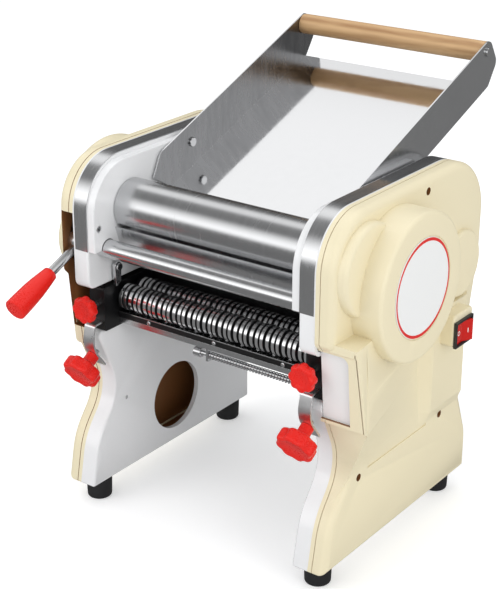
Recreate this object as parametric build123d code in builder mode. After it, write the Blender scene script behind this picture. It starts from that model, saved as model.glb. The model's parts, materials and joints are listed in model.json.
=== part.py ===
from build123d import *
import math
import os

# Electric pasta maker: two sheet rollers above a pair of noodle cutters, driven by a motor at the side.
#
# Millimetres, +Z up. X runs along the rollers, -Y is the front where the noodles come out, and +X is the
# side with the gear train and the switch. The pieces are drawn in the machine frame, whose Y = 0 lies
# midway between the feet, and are moved by ORIGIN when they are written, so that the part's origin is
# the middle of its base.

# ---------------------------------------------------------------- driving dimensions
ORIGIN = (1.2, 13.5, 0.0)         # middle of the base, seen in the machine frame

LINER_IN = 108.0                    # half width between the liners
FRAME_IN = 116.0                    # half width between the side frames
FRAME_OUT = 132.5                   # outer face of a side frame
COVER_FACE = 150.0                  # plain outer face of a side cover
WALL = 2.5                          # moulded wall of the covers
SKIN = 5.0                          # web of a side frame
RIM = 4.0                           # rim wall of a side frame
FLOOR = 21.0                        # height of the frames above the table
TOP = 346.5                         # top of the head
HEAD_FRONT = -121.5                 # front of the head

ROLLER_R = 25.0
JOURNAL_R = 10.0
SPINDLE_R = 8.0                     # where the gears sit
REAR_ROLLER = (-28.0, 266.0)        # (y, z) of an axis that runs along X
FRONT_ROLLER = (-68.9, 296.5)
GAP_STROKE = 3.0                    # how far the front roller backs away
RUN = 0.05                          # radial clearance of a shaft in its hole

LEVER = (-102.0, 262.7)
LEVER_ROD_R = 8.5
LEVER_SLOPE = 23.3                  # degrees below level, at rest
LEVER_X = -141.0
ECCENTRIC = 3.82                    # throw of the gap cam

CUTTER_FRONT = (-77.0, 207.0)
CUTTER_SPACING = 22.65
CUTTER_REAR = (CUTTER_FRONT[0] + CUTTER_SPACING, CUTTER_FRONT[1])
CUTTER_R = 12.75
CORE_R = 9.5
CUTTER_PITCH = 17.4
DISC_WIDTH = 8.3
CHEEK_IN = 113.0
CHEEK_OUT = 131.0
LEDGE = 179.0                       # shelf of the frame that carries the cutter unit

TRAY_HALF = 106.2
TRAY_SHEET = 1.5
TRAY_TILT = 20.66
TRAY_PIVOT = (18.4, 335.1)
HANDLE = (205.0, 416.0)

SHOULDER = 7.0                      # rounding of the covers' outer edge
MAIN_BOSS = (-29.5, 269.5)          # middle of the round housing over the main gear
BOSS_R = 67.0
BOSS_FACE = 180.0
BADGE_R = 44.5
BADGE_SINK = 1.0
WINDOW_END = 162.0                  # outer end of the plate in the cover's front
CORNER_X = 177.0                    # lower end of the front corner of the lower housing
CORNER_TOP_X = 171.0                # upper end of that corner
HOUSING_TOP = 240.5
HOUSING_FRONT = -118.0
WINDOW_TOP = 231.0
STEP_X = 154.5                      # its plain rear half, behind the step
STEP_Y = 41.5
SWITCH_PAD = (52.0, 87.0, 180.0, 211.5)
PAD_FACE = 168.0

MOTOR_R = 43.0
CAPACITOR = (136.5, 150.0)          # (x, z) of its axis, which runs along Y
CAPACITOR_R = 13.0
SWITCH = (68.0, 192.5)
ROCKER_X = 163.0
ROCKER_TILT = math.radians(12)      # to each side of the middle
PIVOT_R = 1.5
TIE_RODS = [(98.0, 300.0), (106.0, 228.0)]
LINER_SCREWS = [(-113.9, 284.4), (60.0, 330.0), (70.0, 274.0)]

KNOB_X = 121.65                     # half distance between the hand knobs
TOP_KNOB = (-126.8, 205.0)          # middle of the outer face, as (y, z)
TOP_KNOB_R = 13.2
CLAMP_KNOB = (-135.5, 142.0)
CLAMP_KNOB_R = 18.3
CLAMP_SLOPE = 31.9                  # degrees that the clamp screws rise towards the machine
STUD_R = 3.0

# ---------------------------------------------------------------- gears: module, teeth, face range in X
MODULE_ROLLER = 3.0
MODULE_MAIN = 2.0
MODULE_CUTTER = 1.5
MODULE_MOTOR = 1.25
TEETH_ROLLER = 17
TEETH_MAIN = 58
TEETH_PINION = 13
TEETH_DRIVE = 30
TEETH_IDLER = 21
TEETH_CUTTER = 15
TEETH_WHEEL = 60
MESH_SLACK = 0.1                    # added to each centre distance

slide_angle = math.atan2(FRONT_ROLLER[1] - REAR_ROLLER[1], FRONT_ROLLER[0] - REAR_ROLLER[0])
SLIDE = (math.cos(slide_angle), math.sin(slide_angle))


def toward(start, angle, distance):
    """Point at a distance from another, in the YZ plane, with the angle in degrees from +Y."""
    a = math.radians(angle)
    return (start[0] + distance * math.cos(a), start[1] + distance * math.sin(a))


def meet(first, first_r, second, second_r):
    """Centre that lies first_r from one point and second_r from another, on the rear side."""
    dy, dz = second[0] - first[0], second[1] - first[1]
    span = math.hypot(dy, dz)
    along = (first_r**2 - second_r**2 + span**2) / (2 * span)
    aside = math.sqrt(first_r**2 - along**2)
    uy, uz = dy / span, dz / span
    return (first[0] + along * uy - aside * uz, first[1] + along * uz + aside * uy)


COMPOUND = toward(REAR_ROLLER, -12.9, MODULE_MAIN * (TEETH_MAIN + TEETH_PINION) / 2 + MESH_SLACK)
MOTOR = toward(COMPOUND, -73.0, MODULE_MOTOR * (TEETH_WHEEL + TEETH_PINION) / 2 + MESH_SLACK)
IDLER = meet(REAR_ROLLER, MODULE_CUTTER * (TEETH_DRIVE + TEETH_IDLER) / 2 + MESH_SLACK,
             CUTTER_REAR, MODULE_CUTTER * (TEETH_IDLER + TEETH_CUTTER) / 2 + MESH_SLACK)

MOTOR_BOLTS = [toward(MOTOR, 45 + 90 * k, 46.5) for k in range(4)]

# ---------------------------------------------------------------- outlines: corners as (y, z, radius)
FOOT_FRONT = [(-127.0, FLOOR, 2), (-117.5, 68.3, 70), (-83.0, 111.9, 46)]
FOOT_REAR = [(103.0, 117, 30), (124.5, 62, 45), (124.5, FLOOR, 2)]
HEAD_TOP = [(HEAD_FRONT, TOP, 49), (132, TOP, 57), (130.5, 247, 40)]
FRAME_OUTLINE = (FOOT_FRONT + [(-113, LEDGE, 6), (-24, LEDGE, 3), (-24, 224.5, 3), (HEAD_FRONT, 224.5, 9)]
                 + HEAD_TOP + FOOT_REAR)
COVER_OUTLINE = (FOOT_FRONT + [(-104.5, 160, 4), (-110, 162.5, 2), (-116.5, 232, 2), (-122, 238, 6)]
                 + HEAD_TOP + FOOT_REAR)
LINER_OUTLINE = [(-120.5, 262, 1.5), (-120.5, 342, 46), (84, 342, 10), (84, 262, 10)]

COVER_SCREWS = [(25.3, 334.6), (-74.5, 98.0), (66.5, 102.4)]
FEET = [(side * 129.0, end * 104.3) for side in (-1, 1) for end in (-1, 1)]


def closed_outline(corners, inset=0.0):
    """Face inside rounded corners, shrunk by an inset."""
    with BuildSketch() as shape:
        with BuildLine():
            FilletPolyline(*[(y, z) for y, z, r in corners], radius=[r for y, z, r in corners], close=True)
        make_face()
        if inset:
            offset(amount=-inset, kind=Kind.INTERSECTION)
    return shape.sketch


def slab(corners, x0, x1, inset=0.0, mode=Mode.ADD):
    """Plate of an outline between two X positions."""
    with BuildSketch(Plane.YZ.offset(x0)) as face:
        add(closed_outline(corners, inset))
    extrude(face.sketch, amount=x1 - x0, mode=mode)


def rod(center, radius, x0, x1, mode=Mode.ADD):
    """Round bar along X, given the (y, z) of its axis."""
    with BuildSketch(Plane.YZ.offset(x0)) as face:
        with Locations(center):
            Circle(radius)
    extrude(face.sketch, amount=x1 - x0, mode=mode)


def box(x0, x1, y0, y1, z0, z1, mode=Mode.ADD):
    """Block between two corners."""
    with BuildSketch(Plane.XY.offset(z0)) as face:
        with Locations(((x0 + x1) / 2, (y0 + y1) / 2)):
            Rectangle(x1 - x0, y1 - y0)
    extrude(face.sketch, amount=z1 - z0, mode=mode)


def save(name, piece):
    """Move a finished piece to the part's own frame and write it."""
    placed = Pos(-ORIGIN[0], -ORIGIN[1], -ORIGIN[2]) * piece.part
    placed.label = name
    export_step(placed, f"parts/{name}.step")


def save_pair(name, right_piece):
    """Write a right-hand piece, and its mirror image as the left-hand one."""
    save(f"{name}_right", right_piece)
    with BuildPart() as left_piece:
        mirror(right_piece.part, about=Plane.YZ)
    save(f"{name}_left", left_piece)


def save_both(name, right_piece):
    """Write a right-hand piece and its mirror image together, as one group."""
    with BuildPart() as both:
        add(right_piece.part)
        mirror(right_piece.part, about=Plane.YZ)
    save(name, both)


# ---------------------------------------------------------------- side frames
def trim_band(x0, x1, thickness, mode=Mode.ADD):
    """Bright strip that wraps the edge of the head, from the liner's foot over the top to the back."""
    with BuildSketch(Plane.YZ.offset(x0)) as band:
        add(closed_outline(FRAME_OUTLINE))
        add(closed_outline(FRAME_OUTLINE, thickness), mode=Mode.SUBTRACT)
        with Locations((0, 306)):
            Rectangle(280, 87, mode=Mode.INTERSECT)
    extrude(band.sketch, amount=x1 - x0, mode=mode)


def side_frame(carries_gears):
    """Cast side frame: a web with a rim, open towards the cover, with seats for axles and motor if asked."""
    with BuildPart() as frame:
        slab(FRAME_OUTLINE, FRAME_IN, FRAME_OUT)
        fillet(frame.faces().sort_by(Axis.X)[0].edges(), 2.2)
        slab(FRAME_OUTLINE, FRAME_IN + SKIN, FRAME_OUT, RIM, Mode.SUBTRACT)
        rod(REAR_ROLLER, 19, FRAME_IN + SKIN, FRAME_OUT - 0.1)
        for center in COVER_SCREWS:
            rod(center, 6, FRAME_IN + SKIN, FRAME_OUT)
            rod(center, 2, FRAME_IN, FRAME_OUT, Mode.SUBTRACT)
        for end in (-1, 1):
            box(FRAME_IN + SKIN, FRAME_OUT, end * 104.3 - 9, end * 104.3 + 9, FLOOR, 46)
            with Locations((129, end * 104.3, FLOOR)):
                Cylinder(2.5, 24, align=(Align.CENTER, Align.CENTER, Align.MIN), mode=Mode.SUBTRACT)
        rod((1.8, 70.3), 35.4, FRAME_IN, FRAME_OUT, Mode.SUBTRACT)
        rod(REAR_ROLLER, 14, FRAME_IN, FRAME_OUT, Mode.SUBTRACT)
        rod(LEVER, LEVER_ROD_R + RUN, FRAME_IN, FRAME_OUT, Mode.SUBTRACT)
        with BuildSketch(Plane.YZ.offset(FRAME_IN)):
            with Locations((FRONT_ROLLER[0] + SLIDE[0] * 1.7, FRONT_ROLLER[1] + SLIDE[1] * 1.7)):
                Rectangle(39.4, 34.2, rotation=math.degrees(slide_angle))
        extrude(amount=FRAME_OUT - FRAME_IN, mode=Mode.SUBTRACT)
        rod((LEVER[0] - 4, LEVER[1] - 1.7), 12.6, FRAME_OUT - 3.2, FRAME_OUT, Mode.SUBTRACT)
        for center in TIE_RODS:
            rod(center, 2.5, FRAME_IN, FRAME_IN + SKIN, Mode.SUBTRACT)
        if carries_gears:
            for center, seat_r, axle_r in ((IDLER, 7, 5), (COMPOUND, 10, 6)):
                rod(center, seat_r, FRAME_IN + SKIN, FRAME_OUT)
                rod(center, axle_r, FRAME_IN, FRAME_OUT, Mode.SUBTRACT)
            rod(MOTOR, 15, FRAME_IN, FRAME_OUT, Mode.SUBTRACT)
            for center in MOTOR_BOLTS:
                rod(center, 2.5, FRAME_IN, FRAME_IN + SKIN, Mode.SUBTRACT)
        trim_band(FRAME_IN - 1, FRAME_OUT - 1.5, 1.2, Mode.SUBTRACT)
    return frame


def edge_trim():
    """Stainless strip over the edge of the head."""
    with BuildPart() as trim:
        trim_band(FRAME_IN + 0.2, FRAME_OUT - 1.5, 1.2)
    return trim


def liner():
    """White inner plate beside the rollers."""
    with BuildPart() as plate:
        slab(LINER_OUTLINE, LINER_IN, FRAME_IN)
        top_edges = plate.faces().sort_by(Axis.X)[0].edges()
        fillet(top_edges, 1.2)
        rod(LEVER, LEVER_ROD_R + 0.7, LINER_IN, FRAME_IN, Mode.SUBTRACT)
        rod(REAR_ROLLER, JOURNAL_R + 0.6, LINER_IN, FRAME_IN, Mode.SUBTRACT)
        with BuildSketch(Plane.YZ.offset(LINER_IN)):
            with Locations((FRONT_ROLLER[0] + SLIDE[0] * 1.5, FRONT_ROLLER[1] + SLIDE[1] * 1.5)):
                SlotCenterToCenter(GAP_STROKE, 2 * JOURNAL_R + 1.0, rotation=math.degrees(slide_angle))
        extrude(amount=FRAME_IN - LINER_IN, mode=Mode.SUBTRACT)
        for center in LINER_SCREWS:
            rod(center, 3.4, LINER_IN, LINER_IN + 2, Mode.SUBTRACT)
            rod(center, 1.6, LINER_IN, FRAME_IN, Mode.SUBTRACT)
    return plate


# ---------------------------------------------------------------- covers
def rounded_rod(center, radius, x0, x1, rounding):
    """Round bar with a rounded rim at its outer end."""
    with BuildPart() as bar:
        rod(center, radius, x0, x1)
        fillet(bar.edges().filter_by(GeomType.CIRCLE).sort_by(Axis.X)[-1], rounding)
    return bar.part


def rounded_slab(outline, x0, x1, inset, rounding):
    """Plate of an outline with a rounded outer edge."""
    with BuildPart() as plate:
        slab(outline, x0, x1, inset)
        fillet(plate.faces().sort_by(Axis.X)[-1].edges(), rounding)
    return plate.part


# Sections of the lower housing: height, X of its front corner, of its gutter and of its rear half.
HOUSING_SECTIONS = [(86.0, 143.0, 149.9, 143.0), (116.0, 154.5, 148.0, STEP_X), (160.0, CORNER_X, 144.5, STEP_X),
                    (190.0, CORNER_X - 2.2, 146.0, STEP_X), (255.0, CORNER_TOP_X - 1.1, 152.0, STEP_X)]
GUTTER_REACH = (-60.0, 101.0, 213.0)    # front end, foot and top of the trough in front of the step


def lower_housing(outline, t):
    """Lower housing over the motor drive: a ramp in front, a step behind it, and a flare below the ramp."""
    with BuildPart() as housing:
        for z, corner, gutter, rear in HOUSING_SECTIONS:
            with BuildSketch(Plane.XY.offset(z)):
                with BuildLine():
                    Polyline((FRAME_OUT, HOUSING_FRONT + t), (corner - t, HOUSING_FRONT + t),
                             (corner - t, -110), (gutter - t, 30 - t),
                             (rear - t, STEP_Y + t), (rear - t, 99), (144 - t, 119), (144 - t, 135),
                             (FRAME_OUT, 135), close=True)
                make_face()
        loft(ruled=True)
        with BuildSketch(Plane.XZ.offset(-140)):
            with BuildLine():
                Polyline((FRAME_OUT, FLOOR), (190, FLOOR), (190, HOUSING_TOP - 1 - t),
                         (FRAME_OUT, HOUSING_TOP + 0.5 - t), close=True)
            make_face()
        extrude(amount=280, mode=Mode.INTERSECT)
        box(COVER_FACE - 5, 190, 39 - 2 * t, 140, 215 - t, 260, Mode.SUBTRACT)
        slab(outline, FRAME_OUT, 200, t, Mode.INTERSECT)
    return housing.part


def right_form(t):
    """Outer form of the right cover, or with t the hollow inside it."""
    lobes = [(MAIN_BOSS, BOSS_R, BOSS_FACE, 4), ((-76, 295), 41, 159, 4), ((87, 249), 32, 155.5, 3.2),
             (COMPOUND, 18.6, 165, 3.2)]
    with BuildPart() as form:
        add(rounded_slab(COVER_OUTLINE, FRAME_OUT, COVER_FACE - t, t, SHOULDER - t))
        front, foot, top = GUTTER_REACH
        box(FRAME_OUT, 160, front, STEP_Y + t, foot - t, top + t, Mode.SUBTRACT)
        for center, radius, face, rounding in lobes:
            add(rounded_rod(center, radius - t, FRAME_OUT, face - t, rounding - t))
        add(lower_housing(COVER_OUTLINE, t))
    return form.part


def left_form(t):
    """Outer form of the left cover as seen on the right side, or with t the hollow inside it."""
    with BuildPart() as form:
        add(rounded_slab(COVER_OUTLINE, FRAME_OUT, COVER_FACE - t, t, SHOULDER - t))
        for center, radius, face in (((-24, 270), 70, 178), ((-76, 262), 38, 163)):
            add(rounded_rod(center, radius - t, FRAME_OUT, face - t, 8 - t))
    return form.part


def window_opening():
    """Opening for the plate in the front of the housing, with one rounded corner."""
    with BuildPart() as opening:
        box(FRAME_OUT - 1, WINDOW_END, -130, -100, 166, WINDOW_TOP)
        fillet(opening.edges().filter_by(Axis.Y).sort_by(Axis.Z)[-2:].sort_by(Axis.X)[-1], 7)
    return opening.part


def corner_slit():
    """Narrow slit along the front corner of the housing."""
    with BuildPart() as slit:
        with BuildSketch(Plane.XZ.offset(100)):
            with BuildLine():
                Polyline((CORNER_TOP_X - 2.2, 237), (CORNER_TOP_X - 1.2, 237), (CORNER_X - 1.2, 163),
                         (CORNER_X - 2.2, 163), close=True)
            make_face()
        extrude(amount=30)
    return slit.part


def side_cover(outline, outside, inside):
    """Moulded shell, open towards the frame, with a seam line and columns for its screws."""
    with BuildPart() as columns:
        for center in COVER_SCREWS:
            rod(center, 5.5, FRAME_OUT, 200)
        add(outside, mode=Mode.INTERSECT)
    with BuildPart() as seam:
        slab(outline, FRAME_OUT + 4, FRAME_OUT + 4.8)
        slab(outline, FRAME_OUT + 4, FRAME_OUT + 4.8, 0.8, Mode.SUBTRACT)
    with BuildPart() as cover:
        add(outside)
        add(inside, mode=Mode.SUBTRACT)
        add(columns.part)
        for center in COVER_SCREWS:
            rod(center, 3.6, FRAME_OUT + 4, 200, Mode.SUBTRACT)
            rod(center, 2.1, FRAME_OUT, FRAME_OUT + 6, Mode.SUBTRACT)
        add(seam.part, mode=Mode.SUBTRACT)
    return cover


def switch_pad():
    """Raised block with rounded edges that carries the switch."""
    y0, y1, z0, z1 = SWITCH_PAD
    with BuildPart() as pad:
        box(STEP_X - WALL, PAD_FACE, y0, y1, z0, z1)
        fillet(pad.edges().filter_by(Axis.X), 4)
        fillet(pad.faces().sort_by(Axis.X)[-1].edges(), 2)
    return pad.part


# ---------------------------------------------------------------- turning parts
def gear_outline(module, teeth, phase=0.0, addendum=0.9, slack=0.16):
    """Involute teeth as a closed list of (y, z) points about the origin; a tooth stands at the phase."""
    pitch_r = module * teeth / 2
    base_r = pitch_r * math.cos(math.radians(20))
    root_r = pitch_r - 1.22 * module
    tip_r = pitch_r + addendum * module
    half_pitch = math.pi / (2 * teeth) - slack * module / (2 * pitch_r)
    involute_20 = math.tan(math.radians(20)) - math.radians(20)

    def half_angle(r):
        pressure = math.acos(min(1.0, base_r / max(r, base_r)))
        return half_pitch + involute_20 - (math.tan(pressure) - pressure)

    low_r = max(root_r + 0.15 * module, base_r)
    steps = [root_r, low_r, (low_r + tip_r) / 2, tip_r]
    points = []
    for tooth in range(teeth):
        middle = phase + 2 * math.pi * tooth / teeth
        flank = [(r, half_angle(r)) for r in steps]
        for r, a in flank:
            points.append((r * math.cos(middle - a), r * math.sin(middle - a)))
        for r, a in reversed(flank):
            points.append((r * math.cos(middle + a), r * math.sin(middle + a)))
    return points


def mesh_phase(center, teeth, phase, other_center, other_teeth):
    """Phase of a second gear whose gap faces a tooth of the first along the line of centres."""
    theta = math.atan2(other_center[1] - center[1], other_center[0] - center[0])
    return theta + math.pi - (teeth / other_teeth) * (phase - theta) - math.pi / other_teeth


def gear(center, module, teeth, phase, x0, x1, bore, hub=None):
    """Spur gear along X, with a bore and, if given, a hub as (radius, x0, x1)."""
    with BuildPart() as wheel:
        with BuildSketch(Plane.YZ.offset(x0)):
            with BuildLine():
                Polyline(*[(center[0] + y, center[1] + z) for y, z in gear_outline(module, teeth, phase)],
                         close=True)
            make_face()
        extrude(amount=x1 - x0)
        if hub:
            rod(center, hub[0], hub[1], hub[2])
        rod(center, bore, x0 - 60, x1 + 60, Mode.SUBTRACT)
    return wheel


def stepped_shaft(center, steps):
    """Turned shaft: steps are (radius, x0, x1)."""
    with BuildPart() as shaft:
        for radius, x0, x1 in steps:
            rod(center, radius, x0, x1)
    return shaft


def cutter(center, count, shaft_end):
    """Noodle cutter: a core with wide grooved discs, in one piece with its shaft."""
    profile = [(-CHEEK_OUT, 0), (-CHEEK_OUT, 6), (-112.4, 6), (-112.4, CORE_R)]
    for k in range(count):
        x = (k - (count - 1) / 2) * CUTTER_PITCH
        half = DISC_WIDTH / 2
        profile += [(x - half, CORE_R), (x - half, CUTTER_R), (x - 0.9, CUTTER_R), (x - 0.9, CORE_R + 1),
                    (x + 0.9, CORE_R + 1), (x + 0.9, CUTTER_R), (x + half, CUTTER_R), (x + half, CORE_R)]
    profile += [(112.4, CORE_R), (112.4, 6), (shaft_end, 6), (shaft_end, 0)]
    with BuildPart() as roller:
        with BuildSketch(Plane(origin=(0, center[0], center[1]), x_dir=(1, 0, 0), z_dir=(0, -1, 0))):
            with BuildLine():
                Polyline(*profile, close=True)
            make_face()
        revolve(axis=Axis((0, center[0], center[1]), (1, 0, 0)))
    return roller


def comb(center, count, facing):
    """Stripping comb: bright teeth that wrap the cutter's core between its discs, on a strip."""
    inner, outer, width = 10.6, 12.3, 3.4
    with BuildPart() as teeth:
        for k in range(count):
            x = (k - (count - 1) / 2) * CUTTER_PITCH
            with BuildSketch(Plane.YZ.offset(x - width / 2)):
                with Locations(center):
                    Circle(outer)
                    Circle(inner, mode=Mode.SUBTRACT)
                nip = center[0] - facing * 15
                with BuildLine():
                    Polyline(center, (nip, center[1] + 10.5), (nip, center[1] - 20),
                             (center[0], center[1] - 20), close=True)
                make_face(mode=Mode.SUBTRACT)
                with Locations((center[0] + facing * 0.6, center[1] - outer - 0.2)):
                    Rectangle(1.6, 2.8)
            extrude(amount=width)
        front = center[0] + facing * 8.5
        back = center[0] - facing * 2.5
        box(-112, 112, min(front, back), max(front, back), 193, 193.8)
    return teeth


# ---------------------------------------------------------------- fittings
def star_sketch(radius, lobes=8):
    """Disc with broad, shallow lobes for a hand knob, in the sketch that is open."""
    lobe_r = 0.42 * radius
    Circle(0.85 * radius)
    with PolarLocations(radius - lobe_r, lobes):
        Circle(lobe_r)


def star_knob(face, axis, thickness, neck, neck_r, stud, radius):
    """Knob with a lobed head at the face, a neck and a moulded-in stud; the axis points to the machine."""
    plane = Plane(origin=face, z_dir=axis)
    with BuildPart() as knob:
        with BuildSketch(plane):
            star_sketch(radius)
        extrude(amount=thickness)
        with BuildSketch(plane.offset(thickness)):
            Circle(neck_r)
        extrude(amount=neck)
        with BuildSketch(plane.offset(thickness + neck)):
            Circle(STUD_R)
        extrude(amount=stud)
    return knob


def strip(points, radii, width, thickness, x_mid):
    """Bent strip: a filleted path in the YZ plane with a thickness, as wide as given along X."""
    with BuildPart() as band:
        with BuildSketch(Plane.YZ.offset(x_mid - width / 2)):
            with BuildLine() as path:
                FilletPolyline(*points, radius=radii)
            trace(path.line, line_width=thickness)
        extrude(amount=width)
    return band


os.makedirs("parts", exist_ok=True)

# ================================================================ frames, liners, trims
save("side_frame_right", side_frame(True))
with BuildPart() as side_frame_left:
    mirror(side_frame(False).part, about=Plane.YZ)
save("side_frame_left", side_frame_left)
save_both("edge_trims", edge_trim())
save_both("inner_liners", liner())

with BuildPart() as tie_rods:
    for center in TIE_RODS:
        rod(center, 5, -FRAME_IN, FRAME_IN)
save("tie_rods", tie_rods)

with BuildPart() as frame_screws:
    for center in TIE_RODS:
        for side in (-1, 1):
            rod(center, 2.5, side * FRAME_IN, side * (FRAME_IN + SKIN))
            rod(center, 4.5, side * (FRAME_IN + SKIN), side * (FRAME_IN + SKIN + 3))
    for center in MOTOR_BOLTS:
        rod(center, 2.5, FRAME_IN - 4, FRAME_IN + SKIN)
        rod(center, 4.5, FRAME_IN + SKIN, FRAME_IN + SKIN + 3)
save("frame_screws", frame_screws)

with BuildPart() as panel_screws:
    for side in (-1, 1):
        for center in LINER_SCREWS:
            rod(center, 3.3, side * (LINER_IN + 0.3), side * (LINER_IN + 2))
            rod(center, 1.6, side * (LINER_IN + 2), side * FRAME_IN)
        for center in COVER_SCREWS:
            rod(center, 2.0, side * (FRAME_IN + 0.5), side * (FRAME_OUT + 4))
            rod(center, 3.4, side * (FRAME_OUT + 4), side * (FRAME_OUT + 6.5))
save("panel_screws", panel_screws)

# ================================================================ covers
with BuildPart() as cover_right:
    add(side_cover(COVER_OUTLINE, right_form(0), right_form(WALL)).part)
    add(switch_pad())
    box(140, 175, SWITCH[0] - 14.7, SWITCH[0] + 14.7, SWITCH[1] - 11.7, SWITCH[1] + 11.7, Mode.SUBTRACT)
    add(window_opening(), mode=Mode.SUBTRACT)
    add(corner_slit(), mode=Mode.SUBTRACT)
    rod(MAIN_BOSS, BADGE_R + 1.5, BOSS_FACE - BADGE_SINK, BOSS_FACE, Mode.SUBTRACT)
save("cover_right", cover_right)

with BuildPart() as cover_left:
    mirror(side_cover(COVER_OUTLINE, left_form(0), left_form(WALL)).part, about=Plane.YZ)
    box(-COVER_FACE + WALL, -FRAME_OUT, -130, -107, 180.5, 297, Mode.SUBTRACT)
save("cover_left", cover_left)

with BuildPart() as window_plate:
    with BuildSketch(Plane.YZ.offset(FRAME_OUT + 0.5)):
        with BuildLine():
            Polyline((-113.3, 233), (-110.3, 233), (-104.2, 165.5), (-107.2, 165.5), close=True)
        make_face()
    extrude(amount=WINDOW_END - FRAME_OUT)
save("window_plate", window_plate)

with BuildPart() as badge_plate:
    rod(MAIN_BOSS, BADGE_R, BOSS_FACE - BADGE_SINK, BOSS_FACE + 0.4)
    rod(MAIN_BOSS, BADGE_R - 2.5, BOSS_FACE, BOSS_FACE + 1, Mode.SUBTRACT)
save("badge_plate", badge_plate)

# ================================================================ feet
with BuildPart() as foot:
    with BuildSketch(Plane.XZ):
        with BuildLine():
            Polyline((0, 0), (10.6, 0), (12, 1.6), (12.7, FLOOR), (2.5, FLOOR), (2.5, 43), (0, 43), close=True)
        make_face()
    revolve(axis=Axis.Z)
with BuildPart() as feet:
    with Locations(*[(x, y, 0) for x, y in FEET]):
        add(foot.part)
save("feet", feet)

# ================================================================ sheet rollers and their gears
rear_phase = 0.0
front_phase = mesh_phase(REAR_ROLLER, TEETH_ROLLER, rear_phase, FRONT_ROLLER, TEETH_ROLLER)
pinion_phase = mesh_phase(REAR_ROLLER, TEETH_MAIN, 0.0, COMPOUND, TEETH_PINION)
motor_phase = mesh_phase(COMPOUND, TEETH_WHEEL, 0.0, MOTOR, TEETH_PINION)
idler_phase = mesh_phase(REAR_ROLLER, TEETH_DRIVE, 0.0, IDLER, TEETH_IDLER)
rear_cutter_phase = mesh_phase(IDLER, TEETH_IDLER, idler_phase, CUTTER_REAR, TEETH_CUTTER)
front_cutter_phase = mesh_phase(CUTTER_REAR, TEETH_CUTTER, rear_cutter_phase, CUTTER_FRONT, TEETH_CUTTER)

roller_half = LINER_IN - 0.6
save("roller_rear", stepped_shaft(REAR_ROLLER, [
    (JOURNAL_R, -FRAME_OUT + 0.5, -roller_half), (ROLLER_R, -roller_half, roller_half),
    (JOURNAL_R, roller_half, 133.6), (SPINDLE_R, 133.6, 163.0)]))
save("roller_front", stepped_shaft(FRONT_ROLLER, [
    (JOURNAL_R, -129.5, -roller_half), (ROLLER_R, -roller_half, roller_half),
    (JOURNAL_R, roller_half, 133.6), (SPINDLE_R, 133.6, 144.0)]))
save("roller_gear_rear", gear(REAR_ROLLER, MODULE_ROLLER, TEETH_ROLLER, rear_phase, 134, 143, SPINDLE_R,
                              (13, 143, 145)))
save("roller_gear_front", gear(FRONT_ROLLER, MODULE_ROLLER, TEETH_ROLLER, front_phase, 134, 143, SPINDLE_R))
save("cutter_drive_gear", gear(REAR_ROLLER, MODULE_CUTTER, TEETH_DRIVE, 0.0, 145, 152, SPINDLE_R,
                               (13, 152, 154)))
with BuildPart() as main_gear:
    add(gear(REAR_ROLLER, MODULE_MAIN, TEETH_MAIN, 0.0, 154, 161.5, SPINDLE_R).part)
    with BuildSketch(Plane.YZ.offset(154)):
        with Locations(REAR_ROLLER):
            with PolarLocations(34, 6):
                Circle(9)
    extrude(amount=10, mode=Mode.SUBTRACT)
save("main_gear", main_gear)

with BuildPart() as bush:
    rod(REAR_ROLLER, 14, FRAME_IN + 0.5, FRAME_OUT)
    rod(REAR_ROLLER, JOURNAL_R + RUN, FRAME_IN, FRAME_OUT, Mode.SUBTRACT)
save_both("roller_bushes", bush)

with BuildPart() as bearing_block:
    with BuildSketch(Plane.YZ.offset(FRAME_IN + 0.6)):
        with Locations(FRONT_ROLLER):
            Rectangle(36, 34, rotation=math.degrees(slide_angle))
            Circle(JOURNAL_R + RUN, mode=Mode.SUBTRACT)
    extrude(amount=13.2)
save_both("bearing_blocks", bearing_block)

# ================================================================ gap lever and its links
cam_center = (LEVER[0] - ECCENTRIC * SLIDE[1], LEVER[1] + ECCENTRIC * SLIDE[0])
with BuildPart() as lever_shaft:
    add(stepped_shaft(LEVER, [(4, -149, -133.4), (6, -130, -126), (LEVER_ROD_R, -126, 126), (6, 126, 130)]).part)
    for side in (-1, 1):
        rod(cam_center, 8, side * 130, side * 133.4)
save("lever_shaft", lever_shaft)

with BuildPart() as gap_link:
    with BuildSketch(Plane.YZ.offset(130)):
        with Locations(cam_center):
            Circle(10.6)
        with BuildLine():
            Polyline((cam_center[0] + 6, cam_center[1] - 7), (FRONT_ROLLER[0] + 9, FRONT_ROLLER[1] - 9),
                     (FRONT_ROLLER[0] - 9, FRONT_ROLLER[1] + 9), (cam_center[0] - 6, cam_center[1] + 7),
                     close=True)
        make_face()
        with Locations(FRONT_ROLLER):
            Circle(16)
            Circle(JOURNAL_R + 0.6, mode=Mode.SUBTRACT)
        with Locations(cam_center):
            Circle(9.2, mode=Mode.SUBTRACT)
    extrude(amount=3.2)
save_both("gap_links", gap_link)

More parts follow.
